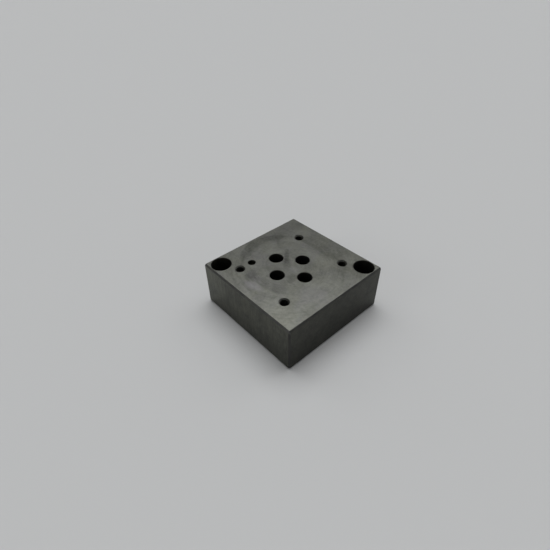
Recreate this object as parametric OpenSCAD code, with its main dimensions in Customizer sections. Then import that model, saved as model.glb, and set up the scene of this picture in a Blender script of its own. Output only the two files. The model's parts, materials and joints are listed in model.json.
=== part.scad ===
// Hydraulic valve subplate with a size 03 (D03, NG6) valve face.
// One steel block, machined all over, drilled and tapped: there are no loose pieces.
// The valve bolts on top, and each valve port breaks into a pipe port in the underside.
// Millimetres, +Z up, origin at the middle of the underside.

/* [Block] */
// Length of the block, along X
block_l = 63.5; // [56:0.1:90]
// Width of the block, along Y
block_w = 63.5; // [60:0.1:90]
// Height of the block
block_h = 25.4; // [23:0.1:40]
// Chamfer on every outer edge
edge_chamfer = 0.8; // [0.2:0.1:1]
// Edge break on the plain holes
hole_break = 0.15; // [0.05:0.05:0.4]

/* [Valve bolts] */
// Place of the bolt pattern's middle, along X
pattern_x = -0.5; // [-1.5:0.1:1.5]
// Place of the bolt pattern's middle, along Y
pattern_y = -0.5; // [-1.5:0.1:1.5]
// Distance between the wide row at -X and the narrow row at +X
row_gap = 40.5; // [38:0.1:43]
// Bolt spacing in the wide row
wide_row = 32.5; // [30:0.1:35]
// Bolt spacing in the narrow row
narrow_row = 31; // [29:0.1:34]
// Tap drill of the bolt holes
bolt_drill_d = 4.2; // [3.5:0.1:5]
// Depth of the bolt holes, without the drill point
bolt_depth = 15; // [10:0.5:18]
// Countersink on the bolt holes
bolt_mouth_d = 5.4; // [5.2:0.1:6.5]

/* [Valve ports] */
// Bore of the four valve ports
port_d = 7.5; // [6:0.1:8]
// Port A, from the narrow row
port_a_from_row = 12.7; // [11:0.1:14]
// Ports P and T, from the narrow row
port_pt_from_row = 21.5; // [20:0.1:23]
// Port B, from the narrow row
port_b_from_row = 30.2; // [29:0.1:32]
// Distance between ports P and T
pt_gap = 20.8; // [19:0.1:23]

/* [Locating pin] */
// Bore of the locating pin hole
pin_d = 4; // [3:0.1:5]
// Depth of the locating pin hole, without the drill point
pin_depth = 6; // [4:0.1:9]
// Locating pin hole, from the narrow row
pin_from_row = 33; // [32:0.1:34.5]

/* [Fixing screws] */
// Screw axis, from each of the two sides that meet at its corner
screw_inset = 6.35; // [6.2:0.05:8]
// Clearance bore for the screw
screw_d = 7; // [6:0.1:8]
// Counterbore for the screw's head
head_d = 10.5; // [9.5:0.1:11]
// Depth of the counterbore
head_depth = 9.5; // [6:0.1:14]

/* [Pipe ports] */
// Outward offset of each pipe port from its valve port
pipe_offset = 6.5; // [5:0.1:7.5]
// Tap drill of the pipe ports
pipe_drill_d = 12.9; // [11:0.1:13.4]
// Depth of the pipe ports, without the drill point
pipe_depth = 15; // [13:0.1:16]
// Height over which each pipe port and its valve port lie side by side and open into each other
passage_overlap = 6.6; // [4:0.1:9]
// O-ring seat at the underside
seal_d = 15.7; // [15:0.1:17]
// Depth of the O-ring seat
seal_depth = 2.4; // [1.5:0.1:3]
// Slope of the O-ring seat from the bore's axis
seal_slope = 12; // [8:1:15]

/* [Hidden] */
STEEL = [0.39, 0.395, 0.375];
// Cuts start this far outside the face that they open in
OVERCUT = 1;
// A twist drill's point, from the axis to its cutting lip
POINT_HALF_ANGLE = 59;
// Sides of a round cut
$fn = 96;

top_z = block_h;
port_depth = block_h - pipe_depth + passage_overlap;
narrow_x = pattern_x + row_gap / 2;
wide_x = pattern_x - row_gap / 2;
bolt_places = [
    for (side = [-1, 1]) each [
        [wide_x, pattern_y + side * wide_row / 2],
        [narrow_x, pattern_y + side * narrow_row / 2]
    ]
];
pin_place = [narrow_x - pin_from_row, pattern_y + wide_row / 2];
// Each valve port's place, and the turn from +Y to the side on which its pipe port lies
valve_ports = [
    [[narrow_x - port_a_from_row, pattern_y], -90],
    [[narrow_x - port_b_from_row, pattern_y], 90],
    [[narrow_x - port_pt_from_row, pattern_y + pt_gap / 2], 0],
    [[narrow_x - port_pt_from_row, pattern_y - pt_gap / 2], 180]
];
screw_x = block_l / 2 - screw_inset;
screw_y = block_w / 2 - screw_inset;

// A drilled hole that opens at z = 0 and runs down: a 45 degree mouth, the bore and the drill's point
module drilling(d, depth, mouth_d) {
    r = d / 2;
    mouth_r = mouth_d / 2;
    rotate_extrude()
        polygon([
            [0, OVERCUT],
            [mouth_r + OVERCUT, OVERCUT],
            [r, r - mouth_r],
            [r, -depth],
            [0, -depth - r / tan(POINT_HALF_ANGLE)]
        ]);
}

// The block before drilling: three chamfered bars, crossed, leave a chamfer on all twelve edges
module chamfered_rectangle(w, h) {
    c = edge_chamfer;
    polygon([
        [w / 2 - c, -h / 2], [w / 2, c - h / 2], [w / 2, h / 2 - c], [w / 2 - c, h / 2],
        [c - w / 2, h / 2], [-w / 2, h / 2 - c], [-w / 2, c - h / 2], [c - w / 2, -h / 2]
    ]);
}

module blank() {
    translate([0, 0, block_h / 2])
        intersection() {
            linear_extrude(block_h, center = true) chamfered_rectangle(block_l, block_w);
            rotate([90, 0, 0])
                linear_extrude(block_w, center = true) chamfered_rectangle(block_l, block_h);
            rotate([90, 0, 90])
                linear_extrude(block_l, center = true) chamfered_rectangle(block_w, block_h);
        }
}

module bolt_holes() {
    for (place = bolt_places)
        translate([each place, top_z]) drilling(bolt_drill_d, bolt_depth, bolt_mouth_d);
}

module pin_hole() {
    translate([each pin_place, top_z]) drilling(pin_d, pin_depth, pin_d + 2 * hole_break);
}

// Through holes at two opposite corners, counterbored so that the screw heads lie below the valve face
module screw_holes() {
    r = screw_d / 2;
    head_r = head_d / 2;
    for (side = [-1, 1])
        translate([side * screw_x, -side * screw_y, 0])
            rotate_extrude()
                polygon([
                    [0, -OVERCUT],
                    [r + hole_break + OVERCUT, -OVERCUT],
                    [r, hole_break],
                    [r, top_z - head_depth],
                    [head_r, top_z - head_depth],
                    [head_r, top_z - hole_break],
                    [head_r + hole_break + OVERCUT, top_z + OVERCUT],
                    [0, top_z + OVERCUT]
                ]);
}

// A straight-thread port that opens at z = 0 and runs down: O-ring seat, lead-in, tapping bore, drill's point
module pipe_port() {
    r = pipe_drill_d / 2;
    seal_r = seal_d / 2;
    seat_end_r = seal_r - seal_depth * tan(seal_slope);
    rotate_extrude()
        polygon([
            [0, OVERCUT],
            [seal_r + OVERCUT * tan(seal_slope), OVERCUT],
            [seat_end_r, -seal_depth],
            [r, r - seat_end_r - seal_depth],
            [r, -pipe_depth],
            [0, -pipe_depth - r / tan(POINT_HALF_ANGLE)]
        ]);
}

// Each passage is two drillings from opposite faces that overlap at their ends
module passages() {
    for (port = valve_ports)
        translate([each port[0], 0]) rotate(port[1]) {
            translate([0, 0, top_z]) drilling(port_d, port_depth, port_d + 2 * hole_break);
            translate([0, pipe_offset, 0]) rotate([180, 0, 0]) pipe_port();
        }
}

module subplate_body() {
    color(STEEL)
        difference() {
            blank();
            bolt_holes();
            pin_hole();
            screw_holes();
            passages();
        }
}

subplate_body();
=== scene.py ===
import json
import math

import bmesh
import bpy
import numpy as np
from mathutils import Matrix, Vector


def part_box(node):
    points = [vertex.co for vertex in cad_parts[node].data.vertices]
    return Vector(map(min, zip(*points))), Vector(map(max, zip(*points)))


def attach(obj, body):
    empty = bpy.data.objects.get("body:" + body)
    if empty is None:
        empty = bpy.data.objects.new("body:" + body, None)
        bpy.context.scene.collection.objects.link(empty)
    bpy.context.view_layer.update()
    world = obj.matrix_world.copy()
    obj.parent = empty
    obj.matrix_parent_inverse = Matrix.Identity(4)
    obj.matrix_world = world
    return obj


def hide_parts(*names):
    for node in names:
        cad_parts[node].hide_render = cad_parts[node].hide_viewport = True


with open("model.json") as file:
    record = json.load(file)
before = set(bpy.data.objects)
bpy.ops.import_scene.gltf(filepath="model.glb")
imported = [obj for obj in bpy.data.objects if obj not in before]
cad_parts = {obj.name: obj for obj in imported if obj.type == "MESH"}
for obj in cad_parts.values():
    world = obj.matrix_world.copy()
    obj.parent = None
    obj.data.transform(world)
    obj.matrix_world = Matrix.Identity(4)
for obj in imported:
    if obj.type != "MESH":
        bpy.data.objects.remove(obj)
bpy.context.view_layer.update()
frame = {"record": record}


# The blank: a square of steel flat bar, cut to length and milled at both ends, with a small 45 degree
# chamfer on every edge. Its sides and ends are oil-blackened. The two wide faces were ground clean
# afterwards, so they are lighter.
MM = 0.001
edge_chamfer = 0.8 * MM
block_low, block_high = (np.array(corner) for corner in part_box("subplate_body"))
top_z = block_high[2]


def chamfered_corners(low, high, chamfer):
    """Each of the eight corners three times: pulled in by the chamfer along two of the axes, so that
    each point lies on one face of the box. The block is the hull of these 24 points."""
    signs = np.stack(np.meshgrid([-1, 1], [-1, 1], [-1, 1], indexing="ij"), axis=-1).reshape(8, 1, 3)
    pulled_in = chamfer * (1 - np.eye(3))
    return ((low + high) / 2 + signs * ((high - low) / 2 - pulled_in)).reshape(-1, 3)


def hull_object(name, points):
    """A closed convex solid around the points, with its flat faces whole."""
    mesh = bpy.data.meshes.new(name)
    mesh.from_pydata(points, [], [])
    form = bmesh.new()
    form.from_mesh(mesh)
    bmesh.ops.convex_hull(form, input=form.verts)
    bmesh.ops.dissolve_limit(form, angle_limit=0.01, verts=form.verts, edges=form.edges)
    form.to_mesh(mesh)
    form.free()
    solid = bpy.data.objects.new(name, mesh)
    bpy.context.scene.collection.objects.link(solid)
    return solid


class Finish:
    """A metal surface. Its colour, roughness and scratches are worked out from the place on the block,
    in millimetres. The edge tint is what a film on the metal leaves of its shine at a glancing angle."""

    def __init__(self, name, edge_tint=1.0):
        self.metal = bpy.data.materials.new(name)
        self.metal.use_nodes = True
        self.tree = self.metal.node_tree
        self.shader = self.tree.nodes["Principled BSDF"]
        self.shader.inputs["Metallic"].default_value = 1.0
        self.shader.inputs["Specular Tint"].default_value = (edge_tint, edge_tint, edge_tint, 1)
        self.place = self.vector("DIVIDE", self.node("TexCoord")["Object"], (MM, MM, MM))
        self.x, self.y, self.z = self.node("SeparateXYZ", {0: self.place})

    def node(self, kind, inputs=(), **settings):
        """Adds a node with its settings. Each input, by name or by number, gets a value or a link."""
        added = self.tree.nodes.new("ShaderNode" + kind)
        for name, value in settings.items():
            setattr(added, name, value)
        for key, value in dict(inputs).items():
            if isinstance(value, bpy.types.NodeSocket):
                self.tree.links.new(value, added.inputs[key])
            else:
                added.inputs[key].default_value = value
        return added.outputs

    def number(self, operation, *values):
        """The result of one operation on numbers."""
        return self.node("Math", enumerate(values), operation=operation)[0]

    def vector(self, operation, *values):
        """The result of one operation on vectors."""
        return self.node("VectorMath", enumerate(values), operation=operation)[0]

    def length(self, vector):
        """The root of the sum of the squares of the three parts."""
        return self.node("VectorMath", {0: vector}, operation="LENGTH")["Value"]

    def ramp(self, value, low, high, to_low=0.0, to_high=1.0):
        """Eases from to_low to to_high while the value goes from low to high."""
        limits = {"Value": value, "From Min": low, "From Max": high, "To Min": to_low, "To Max": to_high}
        return self.node("MapRange", limits, interpolation_type="SMOOTHSTEP")[0]

    def noise(self, patch, shift=0.0, place=None, detail=3.0, grain=0.55, swirl=0.0):
        """Smooth noise around 0. A patch is its usual length along each axis, in millimetres."""
        scaled = self.vector("DIVIDE", place or self.place, patch)
        moved = self.vector("ADD", scaled, (shift, shift, shift))
        inputs = {"Vector": moved, "Scale": 1, "Detail": detail, "Roughness": grain, "Distortion": swirl}
        return self.number("SUBTRACT", self.node("TexNoise", inputs)[0], 0.5)

    def spoke(self, centre):
        """The level way from an upright axis to the place: their difference, with no height."""
        return self.vector("MULTIPLY", self.vector("SUBTRACT", self.place, (*centre, 0)), (1, 1, 0))

    def spun(self, centre, arm):
        """The place seen from an upright axis: the distance from it, then its direction as cos and sin
        times the arm, so that noise read there runs in arcs."""
        spoke = self.spoke(centre)
        heading = self.node("SeparateXYZ", {0: self.vector("NORMALIZE", spoke)})
        turned_x = self.number("MULTIPLY", heading[0], arm)
        turned_y = self.number("MULTIPLY", heading[1], arm)
        return self.node("CombineXYZ", {0: self.length(spoke), 1: turned_x, 2: turned_y})[0]

    def spot(self, centre, turn, half_length, half_width, core=0.1):
        """A soft oval mark: 1 in its core, a part of its size, and 0 from its edge on at any height."""
        own = {
            "Vector": self.vector("MULTIPLY", self.place, (1, 1, 0)),
            "Location": (*centre, 0),
            "Rotation": (0, 0, math.radians(turn)),
            "Scale": (half_length, half_width, 1),
        }
        return self.ramp(self.length(self.node("Mapping", own, vector_type="TEXTURE")[0]), 1.0, core)

    def blend(self, start, *terms):
        """The start plus each of the given values times its weight."""
        total = start
        for value, weight in terms:
            total = self.number("MULTIPLY_ADD", value, weight, total)
        return total

    def tint(self, value, cool, plain, warm):
        """A colour that goes from cool through plain to warm as the noise goes from -0.25 to 0.25."""
        mixed = self.node("ValToRGB", {0: self.ramp(value, -0.25, 0.25)})[0]
        stops = mixed.node.color_ramp.elements
        stops[0].color = (*cool, 1)
        stops[1].color = (*warm, 1)
        stops.new(0.5).color = (*plain, 1)
        return mixed

    def cover(self, level, tint, shade, roughness, relief, depth):
        """Joins the colour, which is the level times the tint times the shade, with the roughness and
        with scratches of that depth in metres."""
        brightness = self.number("MULTIPLY", level, shade)
        colour = self.node("VectorMath", {0: tint, "Scale": brightness}, operation="SCALE")[0]
        scratched = self.node("Bump", {"Strength": 1.0, "Distance": depth, "Height": relief})[0]
        self.tree.links.new(colour, self.shader.inputs["Base Color"])
        self.tree.links.new(roughness, self.shader.inputs["Roughness"])
        self.tree.links.new(scratched, self.shader.inputs["Normal"])
        return self.metal


ground_level = 0.168


def ground_valve_face():
    """Ground on a rotary table, so its marks are arcs about a point near the middle. A valve that stood
    on it has left its print: a dull edge on the left with a bluish gleam outside it, a dull strip on the
    right, and a dull bow behind. Oil and handling have left soft stains and a diagonal wipe."""
    f = Finish("ground_valve_face")
    spun = f.spun((-1.8, 2.5), arm=20)
    arcs = f.noise((4.5, 30, 30), place=spun, detail=2)
    fine_arcs = f.noise((1.1, 12, 12), place=spun, shift=7, detail=2)
    hair = f.noise((0.25, 6, 6), place=spun, shift=5, grain=0.7)
    patches = f.noise((11, 11, 11), shift=3, detail=4, swirl=0.8)
    smears = f.noise((4.5, 7, 7), shift=11, swirl=1.5)
    mottle = f.noise((1.5, 1.5, 1.5), shift=37, detail=3, grain=0.65)
    past_left = f.blend(21.3, (f.x, 1.0), (f.y, 0.155), (mottle, 2.0))
    along_left = f.number("MULTIPLY", f.ramp(f.y, -16, -9), f.ramp(f.y, 14, 8))
    left_edge = f.number("MULTIPLY", f.ramp(past_left, -0.5, 0.7), f.ramp(past_left, 9, 2))
    left_edge = f.number("MULTIPLY", left_edge, along_left)
    past_right = f.blend(-18.4, (f.x, 1.0), (mottle, 2.0))
    along_right = f.number("MULTIPLY", f.ramp(f.y, -15, -10), f.ramp(f.y, 15, 9))
    right_strip = f.number("MULTIPLY", f.ramp(past_right, -0.6, 0.6), f.ramp(past_right, 13, 3, 0.45, 1.0))
    right_strip = f.number("MULTIPLY", right_strip, along_right)
    from_bow = f.length(f.spoke((-0.4, 11.0)))
    bow = f.number("MULTIPLY", f.ramp(from_bow, 19.6, 18.2), f.ramp(from_bow, 11.5, 15.5))
    bow = f.number("MULTIPLY", bow, f.ramp(f.y, 18.5, 22.5))
    gleam = f.spot((-24.0, 1.0), 99, 8.5, 3.0, core=0.2)
    marks = [
        (f.spot((3.6, 7.6), 45, 8.0, 1.8, core=0.3), -0.32),
        (f.spot((-0.4, 3.6), 60, 5.5, 3.4, core=0.3), -0.32),
        (f.spot((-19.5, 8.5), 20, 4.5, 3.5), -0.06),
        (f.spot((-13.0, -8.0), 10, 9.5, 4.5), -0.12),
        (f.spot((-6.5, -7.6), 30, 4.5, 3.2, core=0.3), -0.20),
        (f.spot((12.3, 24.0), 60, 5.0, 4.0, core=0.3), -0.06),
        (f.spot((18.0, -23.5), 0, 8.0, 8.0, core=0.6), -0.13),
        (f.spot((-17.0, -28.5), 5, 11.0, 3.0), -0.10),
        (f.spot((3.2, 19.0), 50, 8.0, 5.5), 0.17),
        (f.spot((-1.2, -3.3), 0, 3.0, 2.6), 0.22),
        (f.spot((13.5, -2.0), 85, 13.0, 5.0), 0.13),
        (f.spot((-5.0, -19.0), 0, 17.0, 6.5), 0.08),
    ]
    shade = f.blend(
        1.0, (patches, 0.3), (smears, 0.45), (mottle, 0.55), (arcs, 0.2), (fine_arcs, 0.22), (hair, 0.5),
        (left_edge, -0.15), (right_strip, -0.17), (bow, -0.28), (gleam, 0.28), *marks,
    )
    roughness = f.blend(0.39, (patches, 0.15), (fine_arcs, 0.1), (hair, 0.08))
    hue = f.noise((14, 10, 10), shift=23, detail=2, swirl=1)
    warmth = f.blend(0.0, (hue, 0.5), (gleam, -0.25), (left_edge, -0.10), (right_strip, 0.06))
    tint = f.tint(warmth, (0.99, 0.985, 0.97), (0.985, 1.01, 0.905), (0.995, 1.015, 0.865))
    return f.cover(ground_level, tint, shade, roughness, hair, 4e-6)


def ground_underside():
    """Ground to and fro on a flat table, so its marks are straight lines along X."""
    f = Finish("ground_underside")
    passes = f.noise((50, 1.0, 1e6), shift=4)
    hair = f.noise((16, 0.2, 1e6), shift=8, detail=2, grain=0.7)
    patches = f.noise((12, 12, 12), shift=31, detail=4, swirl=0.8)
    shade = f.blend(1.0, (passes, 0.4), (hair, 0.3), (patches, 0.5))
    roughness = f.blend(0.37, (patches, 0.15), (passes, 0.08))
    tint = f.tint(patches, (0.985, 1.0, 0.95), (0.985, 1.01, 0.91), (1.0, 1.015, 0.88))
    return f.cover(ground_level, tint, shade, roughness, hair, 4e-6)


def milled_end():
    """Face milled across the bar, which leaves upright streaks under the oil finish. It is painted lighter
    towards its upper corner at plus Y, a painted reflection of the lit floor."""
    f = Finish("milled_end", edge_tint=0.75)
    streaks = f.noise((1e6, 1.6, 26), shift=5)
    fine_streaks = f.noise((1e6, 0.7, 6), shift=21, grain=0.65)
    hair = f.noise((1e6, 0.25, 4), shift=9, detail=2, grain=0.7)
    stains = f.noise((8, 8, 6), shift=1, detail=4, swirl=1)
    mottle = f.noise((2.2, 2.0, 2.6), shift=47, detail=4, grain=0.65, swirl=0.5)
    # Painted reflection: the end grows lighter towards its upper corner at plus Y, as the lit floor beyond
    # the block's shadow would show in it.
    painted_reflection_corner = f.number("MULTIPLY", f.ramp(f.y, 11, 31), f.ramp(f.z, 7, 24))
    shade = f.blend(
        1.0, (streaks, 0.8), (fine_streaks, 1.0), (hair, 0.8), (stains, 0.9), (mottle, 0.7),
        (painted_reflection_corner, 0.45),
    )
    roughness = f.blend(0.21, (stains, 0.12), (streaks, 0.08), (mottle, 0.06))
    tint = f.tint(stains, (0.975, 1.0, 0.85), (0.975, 1.0, 0.83), (0.98, 1.0, 0.81))
    return f.cover(0.096, tint, shade, roughness, hair, 6e-6)


def blackened_side():
    """The skin of the bar under the oil finish: dark and cloudy, with faint lines along the bar."""
    f = Finish("blackened_side", edge_tint=0.7)
    lines = f.noise((32, 1e6, 0.45), shift=7, grain=0.7)
    clouds = f.noise((5, 5, 7), shift=13, detail=5, grain=0.6, swirl=0.6)
    mottle = f.noise((1.4, 1.4, 1.8), shift=53, detail=3, grain=0.65)
    grain = f.noise((0.45, 0.45, 0.45), shift=2, detail=2)
    shade = f.blend(1.0, (clouds, 0.95), (mottle, 0.8), (lines, 0.7), (grain, 0.7))
    roughness = f.blend(0.165, (clouds, 0.12), (mottle, 0.08), (grain, 0.08))
    tint = f.tint(clouds, (0.985, 1.0, 0.89), (0.985, 1.0, 0.87), (0.985, 1.0, 0.85))
    return f.cover(0.064, tint, shade, roughness, grain, 6e-6)


def chamfered_edge():
    """Milled and finely scored. The chamfers round the valve face are painted brighter than the upright and
    lower ones: painted light.
    """
    f = Finish("chamfered_edge")
    score = f.noise((0.7, 0.7, 0.7), shift=6, grain=0.7)
    rubbed = f.noise((5, 5, 5), shift=17)
    # Painted light and shade: full brightness at the edges of the valve face, 0.55 as bright on the upright
    # and lower chamfers.
    shade = f.blend(f.ramp(f.z, 23.5, 24.6, 0.55, 1.0), (score, 0.4), (rubbed, 0.5))
    roughness = f.blend(0.36, (rubbed, 0.2))
    tint = f.tint(rubbed, (1.0, 1.0, 1.0), (1.0, 1.01, 0.96), (1.02, 1.01, 0.93))
    return f.cover(0.086, tint, shade, roughness, score, 4e-6)


def read_each(items, name, width=1, kind=float):
    """One property of all the faces, corners or points of a mesh, as an array with a row for each."""
    values = np.empty(len(items) * width, kind)
    items.foreach_get(name, values)
    return values.reshape(-1, width) if width > 1 else values


GROUND, UNDERSIDE, MILLED, BLACKENED, CHAMFERED = range(5)
subplate = hull_object("subplate", chamfered_corners(block_low, block_high, edge_chamfer))
blank = subplate.data
for finish in (ground_valve_face, ground_underside, milled_end, blackened_side, chamfered_edge):
    blank.materials.append(finish())
x, y, z = read_each(blank.polygons, "normal", 3).T
square_on = 0.99
kinds = [z > square_on, z < -square_on, np.abs(x) > square_on, np.abs(y) > square_on]
face_finish = np.select(kinds, [GROUND, UNDERSIDE, MILLED, BLACKENED], CHAMFERED)
blank.polygons.foreach_set("material_index", face_finish.astype(np.int32))


# The drillings from above: four bolt holes, four valve ports, a pin hole and two counterbored screw
# holes. Twist drills and a counterbore made them, so each is a profile turned about an upright axis,
# and blind ends keep the drill's 118 degree point. Their walls are black with old oil.
places = {mount["name"]: mount for mount in frame["record"]["mounts"]}
overcut = 1.0 * MM
point_slope = 1 / math.tan(math.radians(59))
bolt_depth = 15.0 * MM
port_depth = 17.0 * MM
pin_depth = 6.0 * MM
head_radius = 5.25 * MM
head_depth = 9.5 * MM
small_sides, port_sides, large_sides = 64, 96, 128
same_place = 1e-7
ports = ["p", "t", "a", "b"]
screws = ["fixing_screw_at_minus_x", "fixing_screw_at_plus_x"]
bolt_rows = ["valve_bolts_wide_row", "valve_bolts_narrow_row"]


def centre_of(mount_name):
    """Where the axis of a hole or port stands: the X and Y of its mount."""
    return np.array(places[mount_name]["pos_m"][:2])


def radius_of(mount_name):
    """The drilled radius that the mount of a hole or port gives."""
    dims = places[mount_name]["dims"]
    return dims.get("r_mm", dims.get("hole_r_mm")) * MM


def row_of_two(mount_name):
    """The two hole centres of a bolt row that runs along Y."""
    step = np.array([0, places[mount_name]["dims"]["spacing_y_mm"] * MM / 2])
    return [centre_of(mount_name) - step, centre_of(mount_name) + step]


def turned(profile, centre, sides):
    """A profile of radius and height, carried round the upright axis through the centre: each point is
    radius times cos and sin of the angle, at its own height. Quads join neighbouring rings, and the last
    point of a ring to its first."""
    profile = np.array(profile)
    angle = 2 * np.pi * np.arange(sides) / sides
    radius, height = profile[:, :1], profile[:, 1:]
    x = centre[0] + radius * np.cos(angle)
    y = centre[1] + radius * np.sin(angle)
    points = np.stack([x, y, height + 0 * angle], axis=-1).reshape(-1, 3)
    row, side = np.meshgrid(np.arange(len(profile) - 1), np.arange(sides), indexing="ij")
    after = (side + 1) % sides
    corners = [row * sides + side, row * sides + after, (row + 1) * sides + after, (row + 1) * sides + side]
    return points, np.stack(corners, axis=-1).reshape(-1, 4)


def cutting_tool(name, shells, finish):
    """One object from several closed shells of points and quads, in the finish that it leaves. Points
    that fall together are merged, so a ring of no radius becomes a tip."""
    starts = np.cumsum([0] + [len(points) for points, quads in shells])
    points = np.concatenate([points for points, quads in shells])
    quads = np.concatenate([shell[1] + start for shell, start in zip(shells, starts)])
    mesh = bpy.data.meshes.new(name)
    mesh.from_pydata(points, [], quads.tolist())
    mesh.materials.append(finish)
    form = bmesh.new()
    form.from_mesh(mesh)
    bmesh.ops.remove_doubles(form, verts=form.verts, dist=same_place)
    bmesh.ops.recalc_face_normals(form, faces=form.faces)
    form.to_mesh(mesh)
    form.free()
    tool = bpy.data.objects.new(name, mesh)
    bpy.context.scene.collection.objects.link(tool)
    return tool


def blind_hole(radius, depth):
    """From above the valve face down: a straight wall and the drill's point."""
    return [
        (0, top_z + overcut),
        (radius, top_z + overcut),
        (radius, top_z - depth),
        (0, top_z - depth - radius * point_slope),
    ]


def stepped_hole(radius):
    """From below the block up: the screw's clearance, then the step to the counterbore for its head."""
    return [
        (0, -overcut),
        (radius, -overcut),
        (radius, top_z - head_depth),
        (head_radius, top_z - head_depth),
        (head_radius, top_z + overcut),
        (0, top_z + overcut),
    ]


def oiled_bore(name, level):
    """Rings from the drill's lips, under a film of old oil that makes them nearly black."""
    f = Finish(name)
    rings = f.noise((7, 7, 0.3), shift=15, detail=2, grain=0.6)
    film = f.noise((3, 3, 3), shift=19)
    shade = f.blend(1.0, (rings, 0.55), (film, 0.7))
    roughness = f.blend(0.45, (film, 0.2))
    tint = f.tint(film, (1.0, 1.0, 0.95), (1.0, 1.01, 0.88), (1.03, 1.0, 0.82))
    return f.cover(level, tint, shade, roughness, rings, 1.2e-5)


oiled = oiled_bore("oiled_bore", 0.09)
bolt_centres = [centre for row in bolt_rows for centre in row_of_two(row)]
bolt_radius = radius_of(bolt_rows[0])
pin_centre, pin_radius = centre_of("locating_pin_hole"), radius_of("locating_pin_hole")
holes = [turned(blind_hole(bolt_radius, bolt_depth), centre, small_sides) for centre in bolt_centres]
holes.append(turned(blind_hole(pin_radius, pin_depth), pin_centre, small_sides))
for port in ports:
    name = "valve_port_" + port
    holes.append(turned(blind_hole(radius_of(name), port_depth), centre_of(name), port_sides))
for screw in screws:
    holes.append(turned(stepped_hole(radius_of(screw)), centre_of(screw), large_sides))
tools = [cutting_tool("drills", holes, oiled)]


# The countersinks: a 90 degree cone opens the bolt holes beyond the thread, and takes the burr off
# the rim of every other hole. The cones hold a little oil, so they are darker than the valve face.
bolt_mouth_radius = 2.7 * MM
edge_break = 0.15 * MM


def cone(centre, mouth_radius, face_z, outwards, sides):
    """A 45 degree cone with the given radius at the face. It goes on past the face by the overcut, and
    its tip lies one mouth radius inside."""
    rim_z = face_z + outwards * overcut
    tip_z = face_z - outwards * mouth_radius
    return turned([(0, rim_z), (mouth_radius + overcut, rim_z), (0, tip_z)], centre, sides)


def countersunk_mouth():
    """Cut by a countersink, with rings about each hole and a little oil left in them."""
    f = Finish("countersunk_mouth")
    rings = f.noise((1.5, 1.5, 0.12), shift=41, grain=0.7)
    film = f.noise((2.5, 2.5, 2.5), shift=43)
    shade = f.blend(1.0, (rings, 0.35), (film, 0.7))
    roughness = f.blend(0.45, (film, 0.2))
    tint = f.tint(film, (0.99, 1.0, 0.95), (0.99, 1.01, 0.92), (1.0, 1.01, 0.88))
    return f.cover(0.12, tint, shade, roughness, rings, 4e-6)


cones = [cone(centre, bolt_mouth_radius, top_z, 1, small_sides) for centre in bolt_centres]
cones.append(cone(pin_centre, pin_radius + edge_break, top_z, 1, small_sides))
for port in ports:
    name = "valve_port_" + port
    cones.append(cone(centre_of(name), radius_of(name) + edge_break, top_z, 1, port_sides))
for screw in screws:
    cones.append(cone(centre_of(screw), head_radius + edge_break, top_z, 1, large_sides))
    cones.append(cone(centre_of(screw), radius_of(screw) + edge_break, 0.0, -1, large_sides))
tools.append(cutting_tool("countersinks", cones, countersunk_mouth()))


# The pipe ports: four threaded ports in the underside, bored in one pass with a form tool that leaves
# the tapered seat for a sealing ring. Each meets one valve port inside the block.
seal_radius = 7.85 * MM
seal_depth = 2.4 * MM
seal_slope = math.tan(math.radians(12))
pipe_depth = 15.0 * MM


def formed_port(radius):
    """From below the block up: the tapered seat, a 45 degree shoulder, a straight wall and a point."""
    seat_end = seal_radius - seal_depth * seal_slope
    return [
        (0, -overcut),
        (seal_radius + overcut * seal_slope, -overcut),
        (seat_end, seal_depth),
        (radius, seal_depth + seat_end - radius),
        (radius, pipe_depth),
        (0, pipe_depth + radius * point_slope),
    ]


def tapped_port():
    """Bored and tapped with cutting oil, so it is cleaner than the passages, with fine rings."""
    f = Finish("tapped_port")
    rings = f.noise((7, 7, 0.25), shift=27, detail=2, grain=0.6)
    film = f.noise((4, 4, 4), shift=33)
    shade = f.blend(1.0, (rings, 0.3), (film, 0.75))
    roughness = f.blend(0.33, (film, 0.2))
    tint = f.tint(film, (1.0, 1.0, 1.0), (1.0, 1.0, 0.96), (1.04, 1.0, 0.90))
    return f.cover(0.12, tint, shade, roughness, rings, 6e-6)


clean_port = tapped_port()
forms = []
for port in ports:
    name = "pipe_port_" + port
    forms.append(turned(formed_port(radius_of(name)), centre_of(name), large_sides))
tools.append(cutting_tool("form_tool", forms, clean_port))


# The threads: a tap follows the drill in the four bolt holes and the four pipe ports. It cuts a
# right-hand 60 degree groove from the drilled wall out to the thread's full diameter.
bolt_pitch = 0.8 * MM
bolt_thread_radius = 2.5 * MM
bolt_thread_depth = 12.0 * MM
pipe_pitch = 25.4 / 18 * MM
pipe_thread_radius = 25.4 * 9 / 32 * MM
pipe_thread_depth = 13.6 * MM
bolt_thread_sides, pipe_thread_sides = 48, 96
crest_relief = 0.04 * MM
run_out_turns = 2
thread_steps = np.array([0.0, 0.25, 0.5625, 0.6875])
full_form = np.array([0.0, 0.0, 1.0, 1.0])


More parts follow.
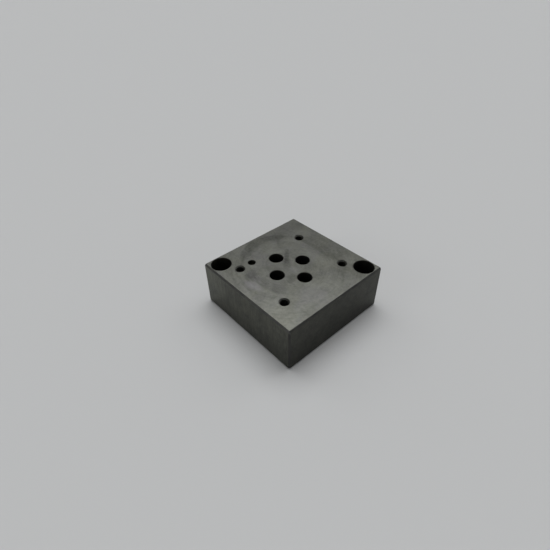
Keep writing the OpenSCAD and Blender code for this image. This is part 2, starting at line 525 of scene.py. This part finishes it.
def tap(centre, start, end, pitch, minor_radius, major_radius, sides):
    """A threaded plug. At turn t and angle a, the height is pitch times (t + a / 2 pi), and the radius
    goes from minor to major and back through the four corners of the thread form in each turn. Heights
    beyond either end are pressed onto it, and the groove runs out over the last turns to the end."""
    length = abs(end - start)
    turns = int(np.ceil(length / pitch)) + 5
    step = (np.arange(turns)[:, None] + thread_steps).reshape(-1, 1)
    angle = 2 * np.pi * np.arange(sides) / sides
    along = pitch * (step + angle / (2 * np.pi) - 2)
    form = np.tile(full_form, turns)[:, None]
    depth = along if end > start else length - along
    run_out = np.clip((length - depth) / (run_out_turns * pitch), 0, 1)
    inside = (along > 0) & (along < length)
    radius = np.where(inside, minor_radius + (major_radius - minor_radius) * form * run_out, minor_radius)
    height = min(start, end) + np.clip(along, 0, length)
    x = centre[0] + radius * np.cos(angle)
    y = centre[1] + radius * np.sin(angle)
    points = np.stack([x, y, height], axis=-1).reshape(-1, 3)
    rows = len(step)
    row, side = np.meshgrid(np.arange(rows - 1), np.arange(sides), indexing="ij")
    last = side == sides - 1
    climb = len(thread_steps) * last
    after = np.where(last, 0, side + 1)
    corners = [
        row * sides + side,
        (row + climb) * sides + after,
        (row + 1 + climb) * sides + after,
        (row + 1) * sides + side,
    ]
    quads = np.stack(corners, axis=-1)[(row + 1 + climb) < rows]
    rim = np.arange(sides)
    first_tip = len(points) + rim
    last_tip = first_tip + sides
    last_ring = (rows - 1) * sides + rim
    foot = np.stack([rim, np.roll(rim, -1), np.roll(first_tip, -1), first_tip], axis=-1)
    head = np.stack([last_ring, np.roll(last_ring, -1), np.roll(last_tip, -1), last_tip], axis=-1)
    tips = np.repeat([[*centre, min(start, end)], [*centre, max(start, end)]], sides, axis=0)
    return np.concatenate([points, tips]), np.concatenate([quads, foot, head])


bolt_taps = []
for centre in bolt_centres:
    start, end = top_z + 2 * bolt_pitch, top_z - bolt_thread_depth
    radii = bolt_radius - crest_relief, bolt_thread_radius
    bolt_taps.append(tap(centre, start, end, bolt_pitch, *radii, bolt_thread_sides))
tools.append(cutting_tool("bolt_taps", bolt_taps, oiled_bore("oiled_thread", 0.03)))
pipe_taps = []
for port in ports:
    name = "pipe_port_" + port
    radii = radius_of(name) - crest_relief, pipe_thread_radius
    pipe_taps.append(tap(centre_of(name), 0.0, pipe_thread_depth, pipe_pitch, *radii, pipe_thread_sides))
tools.append(cutting_tool("pipe_taps", pipe_taps, clean_port))

for tool in tools:
    cut = subplate.modifiers.new(tool.name, "BOOLEAN")
    cut.operation = "DIFFERENCE"
    cut.solver = "MANIFOLD"
    cut.material_mode = "TRANSFER"
    cut.object = tool
machined = bpy.data.meshes.new_from_object(subplate.evaluated_get(bpy.context.evaluated_depsgraph_get()))
subplate.modifiers.clear()
subplate.data = machined
machined.name = "subplate"
for tool in tools:
    bpy.data.objects.remove(tool)
form = bmesh.new()
form.from_mesh(machined)
bmesh.ops.dissolve_degenerate(form, dist=same_place, edges=form.edges)
form.to_mesh(machined)
form.free()
machined.shade_smooth()
sharp_angle = math.radians(24)
machined.set_sharp_from_angle(angle=sharp_angle)

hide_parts("subplate_body")
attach(subplate, "root")


# The map for baked pictures: the flat faces with their chamfers lie on it as six rectangles, and the wall
# of each hole as a strip, unrolled from its mouth to its end. The valve face has the most room.
map_gap = 0.003
face_place = read_each(machined.polygons, "center", 3)
face_slot = read_each(machined.polygons, "material_index", 1, int)
corner_face = np.repeat(np.arange(len(machined.polygons)), read_each(machined.polygons, "loop_total", 1, int))
corner_place = read_each(machined.vertices, "co", 3)[read_each(machined.loops, "vertex_index", 1, int)]
corner_map = np.zeros((len(corner_place), 2))


def lay(corners, flat, left, low, width, height):
    """Stretches flattened corners over a rectangle of the map, less a gap on each side."""
    start, end = flat.min(axis=0), flat.max(axis=0)
    room = np.array([width, height]) - 2 * map_gap
    corner_map[corners] = np.array([left, low]) + map_gap + room * (flat - start) / (end - start)


def lay_flat(faces, across, up, *rectangle):
    """Faces as seen square on: how far each corner lies along the two axes."""
    corners = faces[corner_face]
    lay(corners, corner_place[corners] @ np.array([across, up]).T, *rectangle)


def lay_unrolled(faces, centre, mouth_z, *rectangle):
    """The wall of a hole: the turn of each corner about the axis, and its depth less 0.4 of its radius, so
    that steps and thread flanks have room too. Corners keep near the turn of the middle of their face, so
    no face is torn at the seam."""
    corners = faces[corner_face]
    spoke = corner_place[corners, :2] - centre
    middle = face_place[corner_face[corners], :2] - centre
    radius = np.hypot(spoke[:, 0], spoke[:, 1])
    middle_turn = np.arctan2(middle[:, 1], middle[:, 0])
    past_middle = np.arctan2(spoke[:, 1], spoke[:, 0]) - middle_turn
    past_middle = (past_middle + np.pi) % (2 * np.pi) - np.pi
    turn = middle_turn + np.where(radius > same_place, past_middle, 0)
    depth = np.abs(corner_place[corners, 2] - mouth_z)
    lay(corners, np.stack([turn, depth - 0.4 * radius], axis=-1), *rectangle)


def nearest_wall(holes):
    """For each face, the number of the hole that it reaches furthest into: its distance from the axis less
    the radius is least there."""
    centres = np.array([centre for centre, radius in holes])
    radii = np.array([radius for centre, radius in holes])
    return (np.linalg.norm(face_place[:, None, :2] - centres, axis=-1) - radii).argmin(axis=1)


x, y, z = read_each(machined.polygons, "normal", 3).T
outside = face_slot <= CHAMFERED
ends = outside & (np.abs(z) < 0.5) & (np.abs(x) > np.abs(y) - 0.01)
sides = outside & (np.abs(z) < 0.5) & ~ends
lay_flat(outside & (z > 0.5), (1, 0, 0), (0, 1, 0), 0.0, 0.4, 0.6, 0.6)
lay_flat(outside & (z < -0.5), (-1, 0, 0), (0, 1, 0), 0.0, 0.0, 0.4, 0.4)
lay_flat(ends & (x < 0), (0, -1, 0), (0, 0, 1), 0.6, 0.40, 0.4, 0.15)
lay_flat(ends & (x > 0), (0, 1, 0), (0, 0, 1), 0.6, 0.55, 0.4, 0.15)
lay_flat(sides & (y < 0), (1, 0, 0), (0, 0, 1), 0.6, 0.70, 0.4, 0.15)
lay_flat(sides & (y > 0), (-1, 0, 0), (0, 0, 1), 0.6, 0.85, 0.4, 0.15)

pipe_faces = face_slot == machined.materials.find(clean_port.name)
pipe_holes = [(centre_of("pipe_port_" + port), radius_of("pipe_port_" + port)) for port in ports]
in_pipe = nearest_wall(pipe_holes)
for number, (centre, radius) in enumerate(pipe_holes):
    lay_unrolled(pipe_faces & (in_pipe == number), centre, 0.0, 0.4 + 0.15 * number, 0.0, 0.15, 0.16)

top_holes = [(centre_of("valve_port_" + port), radius_of("valve_port_" + port)) for port in ports]
top_holes += [(centre_of(screw), head_radius) for screw in screws]
top_holes += [(centre, bolt_radius) for centre in bolt_centres] + [(pin_centre, pin_radius)]
strips = [(0.4 + 0.15 * number, 0.16, 0.15, 0.12) for number in range(4)]
strips += [(0.7, 0.28, 0.15, 0.12), (0.85, 0.28, 0.15, 0.12)]
strips += [(0.4 + 0.06 * number, 0.28, 0.06, 0.12) for number in range(5)]
in_top_hole = nearest_wall(top_holes)
for number, ((centre, radius), strip) in enumerate(zip(top_holes, strips)):
    lay_unrolled(~outside & ~pipe_faces & (in_top_hole == number), centre, top_z, *strip)
machined.uv_layers.new(name="OFBake").uv.foreach_set("vector", corner_map.ravel())


# The floor: a wide sheet of pale matt paper.
reach = 20.0
floor_mesh = bpy.data.meshes.new("floor")
floor_mesh.from_pydata(np.array([(-1, -1, 0), (1, -1, 0), (1, 1, 0), (-1, 1, 0)]) * reach, [], [(0, 1, 2, 3)])
floor = bpy.data.objects.new("floor", floor_mesh)
bpy.context.scene.collection.objects.link(floor)
paper = bpy.data.materials.new("floor_paper")
paper.use_nodes = True
paper_shader = paper.node_tree.nodes["Principled BSDF"]
paper_shader.inputs["Base Color"].default_value = (0.575, 0.583, 0.587, 1)
paper_shader.inputs["Roughness"].default_value = 0.9
paper_shader.inputs["Specular IOR Level"].default_value = 0.1
floor_mesh.materials.append(paper)


# The light: a wide soft light overhead and a little behind the block, two weaker ones behind it on either
# side, and a weak one low on the left. The room is pale around the horizon and dim higher up.
room = bpy.data.worlds.new("room")
room.use_nodes = True
room_tree = room.node_tree
lit_room = room_tree.nodes["Background"]
direction = room_tree.nodes.new("ShaderNodeTexCoord")
parts = room_tree.nodes.new("ShaderNodeSeparateXYZ")
dimming = room_tree.nodes.new("ShaderNodeMapRange")
dimming.interpolation_type = "SMOOTHSTEP"
pale_up_to, dim_from = math.radians(8), math.radians(30)
limits = {"From Min": math.sin(pale_up_to), "From Max": math.sin(dim_from), "To Min": 0.9, "To Max": 0.06}
for name, value in limits.items():
    dimming.inputs[name].default_value = value
room_tree.links.new(direction.outputs["Object"], parts.inputs[0])
room_tree.links.new(parts.outputs["Z"], dimming.inputs["Value"])
room_tree.links.new(dimming.outputs[0], lit_room.inputs["Strength"])
lit_room.inputs["Color"].default_value = (1, 1, 1, 1)
seen_room = room_tree.nodes.new("ShaderNodeBackground")
seen_room.inputs["Color"].default_value = (0.988, 1.0, 1.007, 1)
seen_room.inputs["Strength"].default_value = 0.49
ray = room_tree.nodes.new("ShaderNodeLightPath")
either = room_tree.nodes.new("ShaderNodeMixShader")
room_tree.links.new(ray.outputs["Is Camera Ray"], either.inputs[0])
room_tree.links.new(lit_room.outputs[0], either.inputs[1])
room_tree.links.new(seen_room.outputs[0], either.inputs[2])
room_tree.links.new(either.outputs[0], room_tree.nodes["World Output"].inputs["Surface"])
bpy.context.scene.world = room


def soft_light(name, azimuth, elevation, spread, strength):
    """A round light, far away and as many degrees wide as its spread, that shines on the block."""
    azimuth, elevation = math.radians(azimuth), math.radians(elevation)
    level = math.cos(elevation)
    away = Vector((level * math.cos(azimuth), level * math.sin(azimuth), math.sin(elevation)))
    light = bpy.data.lights.new(name, "SUN")
    light.angle = math.radians(spread)
    light.energy = strength
    lamp = bpy.data.objects.new(name, light)
    lamp.location = away
    lamp.rotation_euler = away.to_track_quat("Z", "Y").to_euler()
    bpy.context.scene.collection.objects.link(lamp)


soft_light("soft_light_overhead", 45, 74, 47, 1.72)
soft_light("soft_light_back_right", -10, 44, 34, 0.30)
soft_light("soft_light_back_left", 100, 44, 34, 0.30)
soft_light("soft_light_left", 165, 30, 21, 0.187)


# The camera: it looks down on the corner between the left end and the front side.
eye = Vector((-106.82, -110.13, 149.2)) * MM
target = Vector((-11.21, 0.24, 25.4)) * MM
roll = math.radians(-1.431)
focal_pixels = 390.7
frame_pixels = 550
forward = (target - eye).normalized()
right = forward.cross(Vector((0, 0, 1))).normalized()
up = right.cross(forward)
level_right = math.cos(roll) * right + math.sin(roll) * up
level_up = -math.sin(roll) * right + math.cos(roll) * up
lens = bpy.data.cameras.new("camera")
lens.sensor_width = 36
lens.sensor_fit = "HORIZONTAL"
lens.lens = focal_pixels / frame_pixels * lens.sensor_width
lens.clip_start = 0.005
lens.clip_end = 50
camera = bpy.data.objects.new("camera", lens)
turn = Matrix((level_right, level_up, -forward)).transposed().to_4x4()
camera.matrix_world = Matrix.Translation(eye) @ turn
bpy.context.scene.collection.objects.link(camera)
bpy.context.scene.camera = camera
bpy.context.scene.view_settings.view_transform = "Standard"
